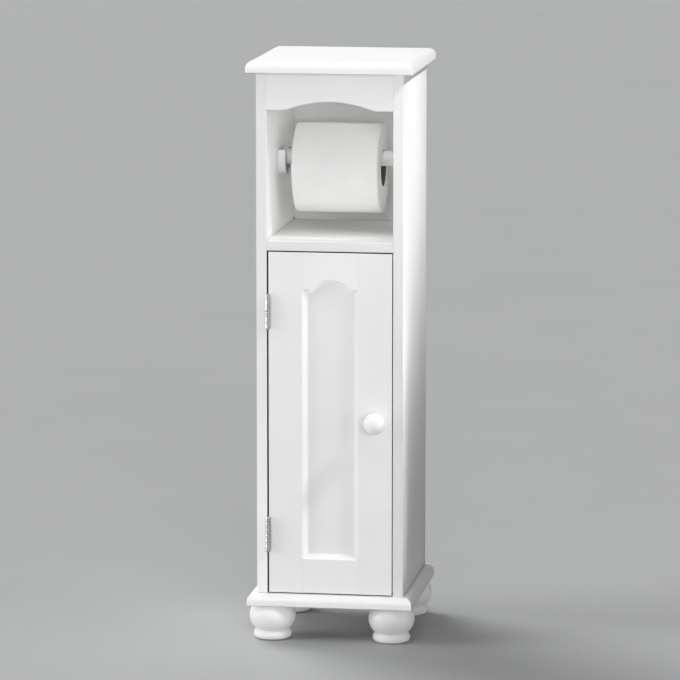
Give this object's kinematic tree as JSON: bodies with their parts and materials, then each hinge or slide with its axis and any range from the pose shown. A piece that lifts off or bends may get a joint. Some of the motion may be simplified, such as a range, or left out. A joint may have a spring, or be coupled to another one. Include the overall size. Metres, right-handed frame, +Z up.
{
  "type": "toilet roll storage cabinet",
  "caption": "Narrow free-standing bathroom cabinet with an open nook for a toilet roll on a lift-out bar above a framed, hinged door, on turned bun feet.",
  "frame": {"origin": "on the floor, at the centre of the footprint box of the whole object (base and top boards, with the knob in front)", "axes": "+X to the object's right as seen from the front, -Y towards the viewer (door side), +Y towards the wall, +Z up"},
  "size_m": [0.1924, 0.22, 0.6716],
  "materials": {
    "white_paint": "white satin paint on wood, faint grain showing through",
    "bare_wood": "bare beech, as turned",
    "zinc_steel": "bright zinc-plated steel",
    "nickel_hinge": "nickel-plated steel, satin",
    "felt": "pale pressed felt",
    "white_plastic": "white moulded plastic",
    "magnet": "dark grey ferrite",
    "tissue": "soft white tissue, wound",
    "core_board": "grey-brown spiral-wound board"
  },
  "bodies": {
    "cabinet": {"top_board": "white_paint", "left_side_panel": "white_paint", "right_side_panel": "white_paint", "back_panel": "white_paint", "valance": "white_paint", "middle_shelf": "white_paint", "base_board": "white_paint", "front_left_foot": "white_paint", "front_right_foot": "white_paint", "rear_left_foot": "white_paint", "rear_right_foot": "white_paint", "left_bar_cup": "white_paint", "right_bar_cup": "white_paint", "top_dowels": "bare_wood", "shelf_dowels": "bare_wood", "valance_dowels": "bare_wood", "foot_bolts": "zinc_steel", "base_screws": "zinc_steel", "back_panel_pins": "zinc_steel", "bar_cup_screws": "zinc_steel", "catch_pole_plates": "zinc_steel", "catch_screws": "zinc_steel", "upper_hinge_frame_leaf": "nickel_hinge", "lower_hinge_frame_leaf": "nickel_hinge", "hinge_frame_screws": "nickel_hinge", "upper_hinge_pin": "nickel_hinge", "lower_hinge_pin": "nickel_hinge", "foot_glides": "felt", "catch_case": "white_plastic", "catch_magnet": "magnet"},
    "door": {"door_hinge_stile": "white_paint", "door_lock_stile": "white_paint", "door_top_rail": "white_paint", "door_bottom_rail": "white_paint", "door_panel": "white_paint", "door_knob": "white_paint", "knob_screw": "zinc_steel", "upper_hinge_door_leaf": "nickel_hinge", "lower_hinge_door_leaf": "nickel_hinge", "hinge_door_screws": "nickel_hinge", "strike_plate": "zinc_steel", "strike_screw": "zinc_steel"},
    "bar": {"roll_bar": "white_paint"},
    "roll": {"paper_roll": "tissue", "roll_core": "core_board"}
  },
  "joints": [
    {"name": "door_hinge", "type": "hinge", "parent": "cabinet", "child": "door", "pos_m": [-0.0712, -0.088, 0.25475], "axis": [0, 0, -1], "range_deg": [0, 175]},
    {"name": "bar_lift", "type": "slide", "parent": "cabinet", "child": "bar", "axis": [0, 0, 1], "range_m": [0, 0.02]},
    {"name": "roll_spin", "type": "hinge", "parent": "bar", "child": "roll", "pos_m": [-0.0023, 0.014, 0.54015], "axis": [1, 0, 0], "continuous": true}
  ]
}
